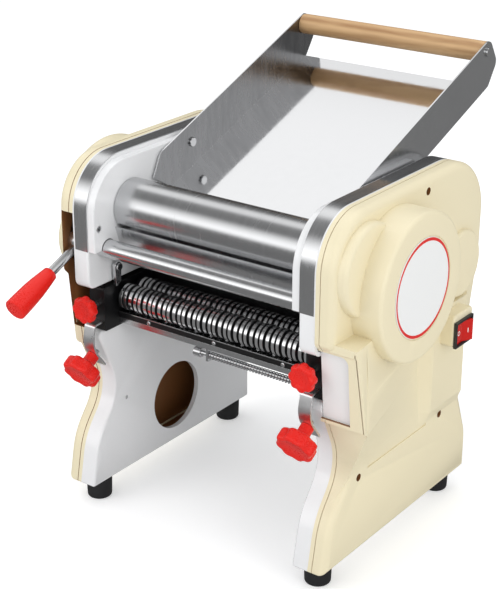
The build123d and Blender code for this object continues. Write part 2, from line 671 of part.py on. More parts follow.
lean = math.radians(180 + LEVER_SLOPE)
arm_axis = (0, math.cos(lean), math.sin(lean))
arm_plane = Plane(origin=(LEVER_X, LEVER[0], LEVER[1]), z_dir=arm_axis)
with BuildPart() as lever_arm:
    rod(LEVER, 12, LEVER_X - 6, LEVER_X + 6)
    rod(LEVER, 4, LEVER_X - 20, LEVER_X + 20, Mode.SUBTRACT)
    with BuildSketch(arm_plane.offset(8)):
        Circle(4.25)
    extrude(amount=50)
save("lever_arm", lever_arm)
with BuildPart() as lever_grip:
    with BuildSketch(Plane(origin=(LEVER_X, LEVER[0], LEVER[1]), x_dir=(1, 0, 0),
                           z_dir=(0, -math.sin(lean), math.cos(lean)))):
        with BuildLine():
            Polyline((0, 46.6), (6.2, 46.6), (6.8, 47.4))
            Spline((6.8, 47.4), (9.2, 66), (10.6, 98.0), tangents=((0.14, 1), (0.01, 1)))
            Polyline((10.6, 98.0), (9.8, 98.8), (0, 98.8), (0, 46.6))
        make_face()
    revolve(axis=Axis((LEVER_X, LEVER[0], LEVER[1]), arm_axis))
    with BuildSketch(arm_plane.offset(46.6)):
        Circle(4.25)
    extrude(amount=11.4, mode=Mode.SUBTRACT)
save("lever_grip", lever_grip)

# ================================================================ gear train on stub axles
with BuildPart() as stub_axles:
    rod(IDLER, 5, FRAME_IN, 153)
    rod(COMPOUND, 6, FRAME_IN, 162.2)
save("stub_axles", stub_axles)
save("cutter_idler_gear", gear(IDLER, MODULE_CUTTER, TEETH_IDLER, idler_phase, 145, 152, 5 + RUN,
                               (8, 133, 145)))
with BuildPart() as compound_gear:
    add(gear(COMPOUND, MODULE_MOTOR, TEETH_WHEEL, 0.0, 134, 141, 6 + RUN).part)
    add(gear(COMPOUND, MODULE_MAIN, TEETH_PINION, pinion_phase, 154, 161.5, 6 + RUN, (10, 141, 154)).part)
save("compound_gear", compound_gear)

# ================================================================ motor
with BuildPart() as motor_housing:
    rod(MOTOR, MOTOR_R, 8, 112)
    rod(MOTOR, 50, 112, FRAME_IN)
    rod(MOTOR, MOTOR_R - 3, 12, 112, Mode.SUBTRACT)
    rod(MOTOR, 15.0, 112, FRAME_IN, Mode.SUBTRACT)
    for center in MOTOR_BOLTS:
        rod(center, 2.5, 112, FRAME_IN, Mode.SUBTRACT)
    with BuildSketch(Plane.YZ.offset(8)):
        with Locations(MOTOR):
            Circle(6 + RUN)
            with PolarLocations(25, 8):
                SlotOverall(14, 4)
    extrude(amount=4, mode=Mode.SUBTRACT)
save("motor_housing", motor_housing)
with BuildPart() as motor_stator:
    rod(MOTOR, MOTOR_R - 3, 30, 92)
    rod(MOTOR, 22, 30, 92, Mode.SUBTRACT)
save("motor_stator", motor_stator)
with BuildPart() as motor_bearing:
    rod(MOTOR, 15, 112, FRAME_IN + 6)
    rod(MOTOR, 6 + RUN, 112, FRAME_IN + 6, Mode.SUBTRACT)
save("motor_bearing", motor_bearing)
save("motor_rotor", stepped_shaft(MOTOR, [(6, 5, 30), (21, 30, 92), (6, 92, 133.5), (4.5, 133.5, 142)]))
save("motor_pinion", gear(MOTOR, MODULE_MOTOR, TEETH_PINION, motor_phase, 134, 141, 4.5))
with BuildPart() as capacitor:
    with BuildSketch(Plane.XZ.offset(-44)):
        with Locations(CAPACITOR):
            Circle(CAPACITOR_R)
    extrude(amount=-52)
save("start_capacitor", capacitor)
with BuildPart() as capacitor_bracket:
    box(FRAME_IN + SKIN, CAPACITOR[0] - 6, 59, 81, 141, 159)
    with BuildSketch(Plane.XZ.offset(-44)):
        with Locations(CAPACITOR):
            Circle(CAPACITOR_R)
    extrude(amount=-52, mode=Mode.SUBTRACT)
save("capacitor_bracket", capacitor_bracket)

# ================================================================ cutter unit
with BuildPart() as cheek:
    with BuildSketch(Plane.YZ.offset(CHEEK_IN)):
        with BuildLine():
            FilletPolyline((-105, LEDGE), (-105, 222), (-26, 222), (-26, LEDGE), radius=[2, 2, 2, 2], close=True)
        make_face()
        with Locations(CUTTER_FRONT, CUTTER_REAR):
            Circle(6 + RUN, mode=Mode.SUBTRACT)
    extrude(amount=CHEEK_OUT - CHEEK_IN)
    with BuildSketch(Plane.XZ.offset(105.5)):
        with Locations((KNOB_X, TOP_KNOB[1])):
            Circle(STUD_R + RUN)
    extrude(amount=-11.5, mode=Mode.SUBTRACT)
save_both("cutter_cheeks", cheek)

save("cutter_front", cutter(CUTTER_FRONT, 13, 143.5))
save("cutter_rear", cutter(CUTTER_REAR, 12, 152.5))
save("cutter_gear_front", gear(CUTTER_FRONT, MODULE_CUTTER, TEETH_CUTTER, front_cutter_phase, 134, 143, 6))
save("cutter_gear_rear", gear(CUTTER_REAR, MODULE_CUTTER, TEETH_CUTTER, rear_cutter_phase, 134, 152, 6))
with BuildPart() as combs:
    add(comb(CUTTER_FRONT, 12, -1).part)
    add(comb(CUTTER_REAR, 13, 1).part)
save("combs", combs)
with BuildPart() as comb_bars:
    box(-CHEEK_IN, CHEEK_IN, -85.5, -73, 188, 193)
    box(-CHEEK_IN, CHEEK_IN, -58, -45.8, 188, 193)
save("comb_bars", comb_bars)
with BuildPart() as bar_screws:
    for x in (-76, 0, 76):
        with BuildSketch(Plane.XZ.offset(85.5)):
            with Locations((x, 190.5)):
                Circle(2.2)
        extrude(amount=1.6)
    for side in (-1, 1):
        with BuildSketch(Plane.XZ.offset(105)):
            with Locations((side * KNOB_X, TOP_KNOB[1])):
                Circle(4.6)
                Circle(STUD_R + RUN, mode=Mode.SUBTRACT)
        extrude(amount=1.4)
save("bar_screws", bar_screws)
with BuildPart() as lower_rail:
    box(-CHEEK_IN, CHEEK_IN, -86, -74, 182.6, 188)
    for x in (-8, 105):
        box(x - 1.2, x + 1.2, -86, -79, 170.5, 182.6)
    rod((-82.5, 175.8), 2.0 + RUN, -20, CHEEK_IN, Mode.SUBTRACT)
save("lower_rail", lower_rail)
save("release_pin", stepped_shaft((-82.5, 175.8), [(4.4, -24, -16), (2, -16, 109)]))
with BuildPart() as release_spring:
    for k in range(14):
        rod((-82.5, 175.8), 3.6, 2 + 7 * k, 6 + 7 * k)
    rod((-82.5, 175.8), 3.1, -6.8, 103.8)
    rod((-82.5, 175.8), 2.4, -7, 104, Mode.SUBTRACT)
save("release_spring", release_spring)

with BuildPart() as rear_guard:
    box(-CHEEK_IN, CHEEK_IN, -36, -34, 186, 240)
save("dough_guard", rear_guard)
with BuildPart() as scrapers:
    add(strip([(-91.6, 280.6), (-83, 254), (-66, 247)], [4], 2 * LINER_IN, 1.2, 0).part)
    add(strip([(-7.0, 248.6), (-5, 238), (4, 232)], [4], 2 * FRAME_IN, 1.2, 0).part)
save("scrapers", scrapers)

# ================================================================ clamps, knobs and latches
clamp_axis = (0, math.cos(math.radians(CLAMP_SLOPE)), math.sin(math.radians(CLAMP_SLOPE)))
with BuildPart() as hook:
    add(strip([(-105.15, 188.3), (-115.8, 187.8), (-120.5, 166), (-103.5, 144)], [3, 24], 12.3, 1.8, KNOB_X).part)
    with BuildSketch(Plane(origin=(KNOB_X, *CLAMP_KNOB), z_dir=clamp_axis)):
        Circle(STUD_R + RUN)
    extrude(amount=40, mode=Mode.SUBTRACT)
save_both("clamp_hooks", hook)

for side, hand in ((-1, "left"), (1, "right")):
    save(f"top_knob_{hand}", star_knob((side * KNOB_X, *TOP_KNOB), (0, 1, 0), 9, 5.8, 5.5, 17.1, TOP_KNOB_R))
    save(f"clamp_knob_{hand}", star_knob((side * KNOB_X, *CLAMP_KNOB), clamp_axis, 12.8, 12.6, 6.2, 6.8,
                                         CLAMP_KNOB_R))

with BuildPart() as latch:
    with BuildSketch(Plane.YZ.offset(109.2)):
        with BuildLine():
            FilletPolyline((-92.5, 244.5), (-83.5, 244.5), (-84.5, 224), (-91.5, 221), radius=[4, 4, 1, 1],
                           close=True)
        make_face()
        with Locations((-88, 240)):
            Circle(2.2 + RUN, mode=Mode.SUBTRACT)
    extrude(amount=3.4)
save_pair("latch_tab", latch)
with BuildPart() as latch_pivots:
    for side in (-1, 1):
        rod((-88, 240), 2.2, side * 108.8, side * FRAME_IN)
        rod((-88, 240), 3.6, side * 107, side * 108.8)
save("latch_pivots", latch_pivots)

# ================================================================ switch
with BuildPart() as switch_housing:
    box(152, 168, SWITCH[0] - 14.6, SWITCH[0] + 14.6, SWITCH[1] - 11.6, SWITCH[1] + 11.6)
    box(168, 171, SWITCH[0] - 15.6, SWITCH[0] + 15.6, SWITCH[1] - 12.6, SWITCH[1] + 12.6)
    box(156, 171, SWITCH[0] - 13.5, SWITCH[0] + 13.5, SWITCH[1] - 10.6, SWITCH[1] + 10.6, Mode.SUBTRACT)
    with Locations((ROCKER_X, SWITCH[0], SWITCH[1])):
        Cylinder(PIVOT_R + RUN, 23.2, mode=Mode.SUBTRACT)
save("switch_housing", switch_housing)
with BuildPart() as switch_rocker:
    with BuildSketch(Plane(origin=(ROCKER_X, SWITCH[0], SWITCH[1] - 10.2), z_dir=(0, 0, 1),
                           x_dir=(-math.sin(ROCKER_TILT), -math.cos(ROCKER_TILT), 0))):
        with BuildLine():
            Polyline((-11.5, 9), (0, 6), (11.5, 9), (10.4, 1), (0, -4.5), (-10.4, 1), close=True)
        make_face()
    extrude(amount=20.4)
    with Locations((ROCKER_X, SWITCH[0], SWITCH[1])):
        Cylinder(PIVOT_R, 22.8)
save("switch_rocker", switch_rocker)

# ================================================================ tray
tilt = math.radians(TRAY_TILT)
tray_foot = (-9.5, 300.4)


def on_tray(along, above):
    """(y, z) of a point along the tray's floor and square above it."""
    return (tray_foot[0] + along * math.cos(tilt) - above * math.sin(tilt),
            tray_foot[1] + along * math.sin(tilt) + above * math.cos(tilt))


floor_profile = [on_tray(-4, 0), on_tray(232, 0), on_tray(232, -TRAY_SHEET), on_tray(-4, -TRAY_SHEET)]
wall_profile = [(*on_tray(-3, -TRAY_SHEET), 2), (*on_tray(234, -TRAY_SHEET), 5), (225.5, 403.5, 9),
                (209.5, 428, 9), (-28.5, 336, 12), (-39.5, 313.5, 2)]
with BuildPart() as tray:
    with BuildSketch(Plane.YZ.offset(-TRAY_HALF)):
        with BuildLine():
            Polyline(*floor_profile, close=True)
        make_face()
    extrude(amount=2 * TRAY_HALF)
    slab(wall_profile, -TRAY_HALF, -TRAY_HALF + TRAY_SHEET)
    slab(wall_profile, TRAY_HALF - TRAY_SHEET, TRAY_HALF)
    for center in (TRAY_PIVOT, HANDLE):
        rod(center, 2.5, -TRAY_HALF, TRAY_HALF, Mode.SUBTRACT)
save("tray", tray)
with BuildPart() as tray_handle:
    rod(HANDLE, 10, -TRAY_HALF + TRAY_SHEET, TRAY_HALF - TRAY_SHEET)
    for side in (-1, 1):
        rod(HANDLE, 2.5, side * (TRAY_HALF - 16), side * TRAY_HALF, Mode.SUBTRACT)
save("tray_handle", tray_handle)
with BuildPart() as tray_screws:
    for side in (-1, 1):
        rod(HANDLE, 2.5, side * (TRAY_HALF - 16), side * TRAY_HALF)
        rod(HANDLE, 4.5, side * TRAY_HALF, side * (TRAY_HALF + 2))
        rod(TRAY_PIVOT, 2.5, side * (TRAY_HALF - TRAY_SHEET), side * LINER_IN)
        rod(TRAY_PIVOT, 4.5, side * (TRAY_HALF - TRAY_SHEET - 2), side * (TRAY_HALF - TRAY_SHEET))
save("tray_screws", tray_screws)
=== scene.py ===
# %% [markdown]
# # An electric pasta maker, dressed over its CAD frame
# The machine rolls dough between two polished rollers and cuts the sheet with grooved cutters. Its shapes
# come from a imported CAD model, and this script gives every piece its finish, rounds the edges that light
# catches, and adds what CAD leaves plain: springs, screw heads, moulded knobs and the wooden handle.
# The CAD model is loaded first, and the box of the dressed machine is measured at the end.

# %% Load the frame
import json
import math
import bmesh
import bpy
from mathutils import Matrix, Vector
from mathutils.bvhtree import BVHTree

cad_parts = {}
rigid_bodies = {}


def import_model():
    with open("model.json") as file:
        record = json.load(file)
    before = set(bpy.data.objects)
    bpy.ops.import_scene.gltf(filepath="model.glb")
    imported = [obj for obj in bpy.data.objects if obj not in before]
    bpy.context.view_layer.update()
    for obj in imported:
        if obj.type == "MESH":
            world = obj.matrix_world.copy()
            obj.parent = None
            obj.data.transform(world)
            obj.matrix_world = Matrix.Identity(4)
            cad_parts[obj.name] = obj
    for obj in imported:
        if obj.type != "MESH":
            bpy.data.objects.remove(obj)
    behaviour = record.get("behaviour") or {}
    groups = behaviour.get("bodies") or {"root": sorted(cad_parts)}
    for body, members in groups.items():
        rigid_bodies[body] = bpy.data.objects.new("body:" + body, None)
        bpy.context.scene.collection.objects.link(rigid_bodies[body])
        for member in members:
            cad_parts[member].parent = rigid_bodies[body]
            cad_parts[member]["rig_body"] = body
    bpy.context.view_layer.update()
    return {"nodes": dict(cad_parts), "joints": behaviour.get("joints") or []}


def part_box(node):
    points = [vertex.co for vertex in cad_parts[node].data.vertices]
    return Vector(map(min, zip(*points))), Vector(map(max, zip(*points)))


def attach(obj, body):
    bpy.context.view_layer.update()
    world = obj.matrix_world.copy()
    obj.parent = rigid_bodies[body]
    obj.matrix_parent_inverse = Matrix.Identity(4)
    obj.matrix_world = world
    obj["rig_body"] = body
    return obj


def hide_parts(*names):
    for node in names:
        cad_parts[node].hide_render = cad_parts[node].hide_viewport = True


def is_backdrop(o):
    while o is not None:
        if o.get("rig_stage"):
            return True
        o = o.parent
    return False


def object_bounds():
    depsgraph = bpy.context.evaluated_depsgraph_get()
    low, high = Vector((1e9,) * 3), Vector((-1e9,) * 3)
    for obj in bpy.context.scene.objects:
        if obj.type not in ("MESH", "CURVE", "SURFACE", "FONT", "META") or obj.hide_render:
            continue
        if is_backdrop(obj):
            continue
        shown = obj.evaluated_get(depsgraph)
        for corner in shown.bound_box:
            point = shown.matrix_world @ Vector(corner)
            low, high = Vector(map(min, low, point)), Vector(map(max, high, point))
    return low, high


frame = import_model()
MM = 0.001

# %% [markdown]
# ## Camera, floor and light
# A product picture is taken from far away with a long lens, which keeps the upright lines upright. The
# camera is placed by its direction and distance from the point that it looks at. The lens is a long one,
# and the small roll is the tilt of the tripod head.


# %% Camera
AZIMUTH, ELEVATION, ROLL = math.radians(36.145), math.radians(22.561), math.radians(0.112)
DISTANCE = 1.38785
LOOK_AT = Vector((-0.00116, -0.04206, 0.21907))
back = Vector((math.sin(AZIMUTH) * math.cos(ELEVATION), -math.cos(AZIMUTH) * math.cos(ELEVATION),
               math.sin(ELEVATION)))
lens = bpy.data.cameras.new("product lens")
lens.lens = 92.09
lens.sensor_width = 36.0
lens.clip_start, lens.clip_end = 0.05, 30.0
camera = bpy.data.objects.new("camera", lens)
bpy.context.scene.collection.objects.link(camera)
camera.location = LOOK_AT + back * DISTANCE
aim = (-back).to_track_quat("-Z", "Y").to_matrix()
camera.rotation_euler = (aim @ Matrix.Rotation(ROLL, 3, "Z")).to_euler()
bpy.context.scene.camera = camera
bpy.context.scene.view_settings.view_transform = "Standard"

# %% [markdown]
# Polished metal shows its surroundings more than itself, so the world around the machine matters as much as
# the lamps. Rollers and trims all run along X, so what they show depends on the angle round that axis. A
# ramp over this angle stands for the soft boxes and black cards of a studio, and only mirror rays see it.
# Paint and plastic take an even white light from all round, and the camera sees a plain white backdrop.


# %% World
def link(tree, source, target):
    """Join two sockets of a node tree."""
    tree.links.new(source, target)


world = bpy.data.worlds.new("studio")
bpy.context.scene.world = world
world.use_nodes = True
sky = world.node_tree
sky.nodes.clear()
rays = sky.nodes.new("ShaderNodeLightPath")
direction = sky.nodes.new("ShaderNodeTexCoord")
split = sky.nodes.new("ShaderNodeSeparateXYZ")
angle_round = sky.nodes.new("ShaderNodeMath")
angle_round.operation = "ARCTAN2"
turn_share = sky.nodes.new("ShaderNodeMapRange")
turn_share.inputs["From Min"].default_value = -math.pi / 2
turn_share.inputs["From Max"].default_value = math.pi
bands = sky.nodes.new("ShaderNodeValToRGB")
STUDIO_RING = [(-90, 0.3), (-8, 0.10), (20, 0.10), (45, 0.25), (60, 1.15), (78, 1.15), (90, 0.30),
               (125, 0.22), (148, 1.3), (168, 1.9), (180, 0.6)]
bands.color_ramp.elements.remove(bands.color_ramp.elements[1])
for k, (degrees, grey) in enumerate(STUDIO_RING):
    place = (degrees + 90) / 270
    stop = bands.color_ramp.elements[0] if k == 0 else bands.color_ramp.elements.new(place)
    stop.position = place
    stop.color = (grey, grey, grey, 1)
mirror_side = sky.nodes.new("ShaderNodeBackground")
paint_side = sky.nodes.new("ShaderNodeBackground")
paint_side.inputs["Color"].default_value = (0.97, 0.985, 1, 1)
paint_side.inputs["Strength"].default_value = 0.80
seen_side = sky.nodes.new("ShaderNodeBackground")
seen_side.inputs["Color"].default_value = (1, 1, 1, 1)
mirror_or_paint = sky.nodes.new("ShaderNodeMixShader")
seen_or_lit = sky.nodes.new("ShaderNodeMixShader")
sky_out = sky.nodes.new("ShaderNodeOutputWorld")
link(sky, direction.outputs["Generated"], split.inputs[0])
link(sky, split.outputs["Z"], angle_round.inputs[0])
link(sky, split.outputs["Y"], angle_round.inputs[1])
link(sky, angle_round.outputs[0], turn_share.inputs["Value"])
link(sky, turn_share.outputs[0], bands.inputs["Fac"])
link(sky, bands.outputs["Color"], mirror_side.inputs["Color"])
link(sky, rays.outputs["Is Glossy Ray"], mirror_or_paint.inputs["Fac"])
link(sky, paint_side.outputs[0], mirror_or_paint.inputs[1])
link(sky, mirror_side.outputs[0], mirror_or_paint.inputs[2])
link(sky, rays.outputs["Is Camera Ray"], seen_or_lit.inputs["Fac"])
link(sky, mirror_or_paint.outputs[0], seen_or_lit.inputs[1])
link(sky, seen_side.outputs[0], seen_or_lit.inputs[2])
link(sky, seen_or_lit.outputs[0], sky_out.inputs["Surface"])

# %% [markdown]
# The floor glows a little for the camera, so that it runs into the backdrop, and it is a mid grey for mirror
# rays, which gives the undersides of bright metal something dark to show.

# %% Floor
floor_material = bpy.data.materials.new("studio floor")
floor_material.use_nodes = True
ground = floor_material.node_tree
ground.nodes.clear()
matt = ground.nodes.new("ShaderNodeBsdfDiffuse")
matt.inputs["Color"].default_value = (0.86, 0.86, 0.86, 1)
glow = ground.nodes.new("ShaderNodeEmission")
seen = ground.nodes.new("ShaderNodeLightPath")
lift = ground.nodes.new("ShaderNodeMath")
lift.operation = "MULTIPLY"
lift.inputs[1].default_value = 0.34
card = ground.nodes.new("ShaderNodeEmission")
card.inputs["Strength"].default_value = 0.22
added = ground.nodes.new("ShaderNodeAddShader")
floor_or_card = ground.nodes.new("ShaderNodeMixShader")
floor_out = ground.nodes.new("ShaderNodeOutputMaterial")
link(ground, seen.outputs["Is Camera Ray"], lift.inputs[0])
link(ground, lift.outputs[0], glow.inputs["Strength"])
link(ground, matt.outputs[0], added.inputs[0])
link(ground, glow.outputs[0], added.inputs[1])
link(ground, seen.outputs["Is Glossy Ray"], floor_or_card.inputs["Fac"])
link(ground, added.outputs[0], floor_or_card.inputs[1])
link(ground, card.outputs[0], floor_or_card.inputs[2])
link(ground, floor_or_card.outputs[0], floor_out.inputs["Surface"])

floor_mesh = bpy.data.meshes.new("floor")
REACH = 6.0
floor_mesh.from_pydata([(-REACH, -REACH, 0), (REACH, -REACH, 0), (REACH, REACH, 0), (-REACH, REACH, 0)], [],
                       [(0, 1, 2, 3)])
floor_mesh.materials.append(floor_material)
floor = bpy.data.objects.new("floor", floor_mesh)
bpy.context.scene.collection.objects.link(floor)
floor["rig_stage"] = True


# %% Lamps
def lamp(name, place, target, size, watts):
    """Rectangular soft light that faces a point."""
    data = bpy.data.lights.new(name, "AREA")
    data.shape = "RECTANGLE"
    data.size, data.size_y = size
    data.energy = watts
    holder = bpy.data.objects.new(name, data)
    bpy.context.scene.collection.objects.link(holder)
    holder.location = place
    holder.visible_glossy = False
    holder.rotation_euler = (Vector(target) - Vector(place)).to_track_quat("-Z", "Y").to_euler()
    return holder


CENTRE = (0, 0, 0.2)
lamp("overhead box", (-0.2, 0.1, 1.9), CENTRE, (1.6, 1.2), 7)
lamp("left front box", (-1.2, -1.9, 1.3), CENTRE, (1.2, 1.2), 11)
lamp("right box", (2.0, -0.7, 0.9), CENTRE, (0.9, 1.3), 12)

# %% [markdown]
# ## Finishes
# No real surface is one colour. Paint has a faint ripple, moulded plastic has a fine spark-eroded texture,
# and steel keeps the lines of the tool that shaped it. One shader group makes all of these: it takes a place
# in space, and gives back a colour that drifts a little, a gloss that drifts a little, and a height for
# bump. Each material puts in its own values. Stretching the place in one direction turns specks into lines.


# %% Shader group: surface drift
def shader_group(name, inputs, outputs):
    """Empty shader node group with named sockets, and its two end nodes."""
    tree = bpy.data.node_groups.new(name, "ShaderNodeTree")
    for label, kind, value in inputs:
        tree.interface.new_socket(label, in_out="INPUT", socket_type=kind).default_value = value
    for label, kind in outputs:
        tree.interface.new_socket(label, in_out="OUTPUT", socket_type=kind)
    return tree, tree.nodes.new("NodeGroupInput"), tree.nodes.new("NodeGroupOutput")


def surface_drift_group():
    """Colour, gloss and height that change slowly and finely over a surface."""
    tree, ends, out = shader_group(
        "Surface Drift",
        [("Place", "NodeSocketVector", (0, 0, 0)), ("Colour", "NodeSocketColor", (0.8, 0.8, 0.8, 1)),
         ("Colour Drift", "NodeSocketFloat", 0.05), ("Cloud Scale", "NodeSocketFloat", 12.0),
         ("Roughness", "NodeSocketFloat", 0.4), ("Roughness Drift", "NodeSocketFloat", 0.08),
         ("Grain Scale", "NodeSocketFloat", 900.0), ("Grain Height", "NodeSocketFloat", 0.3)],
        [("Colour", "NodeSocketColor"), ("Roughness", "NodeSocketFloat"), ("Height", "NodeSocketFloat")])
    clouds = tree.nodes.new("ShaderNodeTexNoise")
    clouds.inputs["Detail"].default_value = 4
    grain = tree.nodes.new("ShaderNodeTexNoise")
    grain.inputs["Detail"].default_value = 2
    link(tree, ends.outputs["Place"], clouds.inputs["Vector"])
    link(tree, ends.outputs["Place"], grain.inputs["Vector"])
    link(tree, ends.outputs["Cloud Scale"], clouds.inputs["Scale"])
    link(tree, ends.outputs["Grain Scale"], grain.inputs["Scale"])

    centred = tree.nodes.new("ShaderNodeMath")
    centred.operation = "SUBTRACT"
    centred.inputs[1].default_value = 0.5
    link(tree, clouds.outputs["Fac"], centred.inputs[0])
    fine = tree.nodes.new("ShaderNodeMath")
    fine.operation = "SUBTRACT"
    fine.inputs[1].default_value = 0.5
    link(tree, grain.outputs["Fac"], fine.inputs[0])
    mixed = tree.nodes.new("ShaderNodeMath")
    mixed.operation = "ADD"
    link(tree, centred.outputs[0], mixed.inputs[0])
    link(tree, fine.outputs[0], mixed.inputs[1])

    shade = tree.nodes.new("ShaderNodeMath")
    shade.operation = "MULTIPLY_ADD"
    shade.inputs[2].default_value = 1.0
    link(tree, mixed.outputs[0], shade.inputs[0])
    link(tree, ends.outputs["Colour Drift"], shade.inputs[1])
    tinted = tree.nodes.new("ShaderNodeVectorMath")
    tinted.operation = "SCALE"
    link(tree, ends.outputs["Colour"], tinted.inputs[0])
    link(tree, shade.outputs[0], tinted.inputs["Scale"])

    gloss = tree.nodes.new("ShaderNodeMath")
    gloss.operation = "MULTIPLY_ADD"
    gloss.use_clamp = True
    link(tree, mixed.outputs[0], gloss.inputs[0])
    link(tree, ends.outputs["Roughness Drift"], gloss.inputs[1])
    link(tree, ends.outputs["Roughness"], gloss.inputs[2])
    relief = tree.nodes.new("ShaderNodeMath")
    relief.operation = "MULTIPLY"
    link(tree, grain.outputs["Fac"], relief.inputs[0])
    link(tree, ends.outputs["Grain Height"], relief.inputs[1])
    link(tree, tinted.outputs[0], out.inputs["Colour"])
    link(tree, gloss.outputs[0], out.inputs["Roughness"])
    link(tree, relief.outputs[0], out.inputs["Height"])
    return tree


DRIFT = surface_drift_group()
print("group", DRIFT.name, "with", len(DRIFT.nodes), "nodes")


# %% A material from the group
def finish(name, colour, roughness, drift=0.04, gloss_drift=0.08, clouds=12.0, grain=900.0, relief=0.2,
           stretch=(1, 1, 1), bump=0.1, **shader):
    """Procedural finish: the group on stretched Object coordinates, a bump, and one Principled shader."""
    material = bpy.data.materials.new(name)
    material.use_nodes = True
    tree = material.node_tree
    surface = tree.nodes["Principled BSDF"]
    place = tree.nodes.new("ShaderNodeTexCoord")
    mapping = tree.nodes.new("ShaderNodeMapping")
    mapping.inputs["Scale"].default_value = stretch
    group = tree.nodes.new("ShaderNodeGroup")
    group.node_tree = DRIFT
    values = {"Colour": (*colour, 1), "Colour Drift": drift, "Cloud Scale": clouds, "Roughness": roughness,
              "Roughness Drift": gloss_drift, "Grain Scale": grain, "Grain Height": relief}
    for label, value in values.items():
        group.inputs[label].default_value = value
    relief_node = tree.nodes.new("ShaderNodeBump")
    relief_node.inputs["Strength"].default_value = bump
    relief_node.inputs["Distance"].default_value = 0.0004
    link(tree, place.outputs["Object"], mapping.inputs["Vector"])
    link(tree, mapping.outputs[0], group.inputs["Place"])
    link(tree, group.outputs["Colour"], surface.inputs["Base Color"])
    link(tree, group.outputs["Roughness"], surface.inputs["Roughness"])
    link(tree, group.outputs["Height"], relief_node.inputs["Height"])
    link(tree, relief_node.outputs[0], surface.inputs["Normal"])
    for label, value in shader.items():
        surface.inputs[label.replace("_", " ")].default_value = value
    return material


cream = finish("moulded cream plastic", (0.82, 0.735, 0.515), 0.36, drift=0.025, clouds=7, grain=1500,
               bump=0.12)
# Dark brown copy of the cream plastic: painted shade for the faces inside the cover shell.
cream_painted_shade = finish("painted shade inside the cover", (0.24, 0.095, 0.028), 0.6, drift=0.25, clouds=30)
white = finish("white enamel", (0.83, 0.83, 0.835), 0.17, drift=0.02, clouds=9, grain=260, relief=0.1,
               bump=0.10, Coat_Weight=0.4, Coat_Roughness=0.05)
mirror_sheet = finish("mirror sheet", (0.76, 0.765, 0.775), 0.09, drift=0.04, gloss_drift=0.10, clouds=5,
                      grain=120, relief=0.3, bump=0.03, Metallic=1.0)
wall_dark = finish("tray wall in shade", (0.30, 0.302, 0.308), 0.26, drift=0.5, gloss_drift=0.2, clouds=14,
                   grain=60, stretch=(3, 3, 0.6), relief=0.4, bump=0.05, Metallic=1.0)
hook_steel = finish("bright hook steel", (0.86, 0.862, 0.868), 0.30, drift=0.06, gloss_drift=0.12, clouds=20,
                    grain=200, relief=0.4, bump=0.05, Metallic=1.0)
chromed = finish("ground roller", (0.60, 0.605, 0.615), 0.24, drift=0.06, gloss_drift=0.12, clouds=3,
                 grain=10, stretch=(120, 2, 2), relief=0.5, bump=0.03, Metallic=1.0)
brushed = finish("brushed steel", (0.68, 0.685, 0.695), 0.22, drift=0.08, gloss_drift=0.15, clouds=6,
                 grain=40, stretch=(40, 4, 4), relief=0.4, bump=0.05, Metallic=1.0)
cutter_steel = finish("cutter steel", (0.80, 0.80, 0.81), 0.16, drift=0.08, gloss_drift=0.12, clouds=40,
                      grain=300, relief=0.4, bump=0.05, Metallic=1.0)
gear_steel = finish("machined steel", (0.42, 0.42, 0.43), 0.34, drift=0.12, gloss_drift=0.2, clouds=25,
                    grain=500, relief=0.4, bump=0.08, Metallic=1.0)
# Near-black painted shade for the deep grooves between the cutter discs.
groove_painted_shade = finish("painted shade in the cutter grooves", (0.012, 0.012, 0.013), 0.45, drift=0.3, clouds=40, bump=0.05)
black_paint = finish("black paint", (0.004, 0.004, 0.0045), 0.40, drift=0.3, clouds=20, grain=900, bump=0.10)
black_plastic = finish("black plastic", (0.02, 0.02, 0.021), 0.42, drift=0.3, clouds=20, grain=1300, bump=0.15)
rubber = finish("black rubber", (0.014, 0.014, 0.015), 0.62, drift=0.4, clouds=40, grain=700, bump=0.25)
red = finish("red plastic", (0.78, 0.016, 0.010), 0.28, drift=0.06, clouds=30, grain=700, bump=0.06,
             Specular_IOR_Level=0.35)
switch_red = finish("switch red", (0.55, 0.012, 0.008), 0.20, drift=0.05, clouds=40, bump=0.03,
                    Specular_IOR_Level=0.45)
plate_white = finish("plain white plate", (0.84, 0.84, 0.83), 0.30, drift=0.02, clouds=12, bump=0.04)
badge_red = finish("ring print", (0.72, 0.018, 0.014), 0.32, drift=0.05, clouds=40, bump=0.02)
motor_grey = finish("motor enamel", (0.05, 0.054, 0.06), 0.40, drift=0.2, clouds=25, grain=800, bump=0.15)
print("materials", len(bpy.data.materials))

# %% [markdown]
# The tray's handle is turned from beech and lightly sealed. Wood is best made in the material, because its
# figure runs through the solid: long streaks along the bar from a stretched noise, darker growth bands from
# a wave that the noise bends, and one or two small knots. The streaks also drive the bump and the gloss.


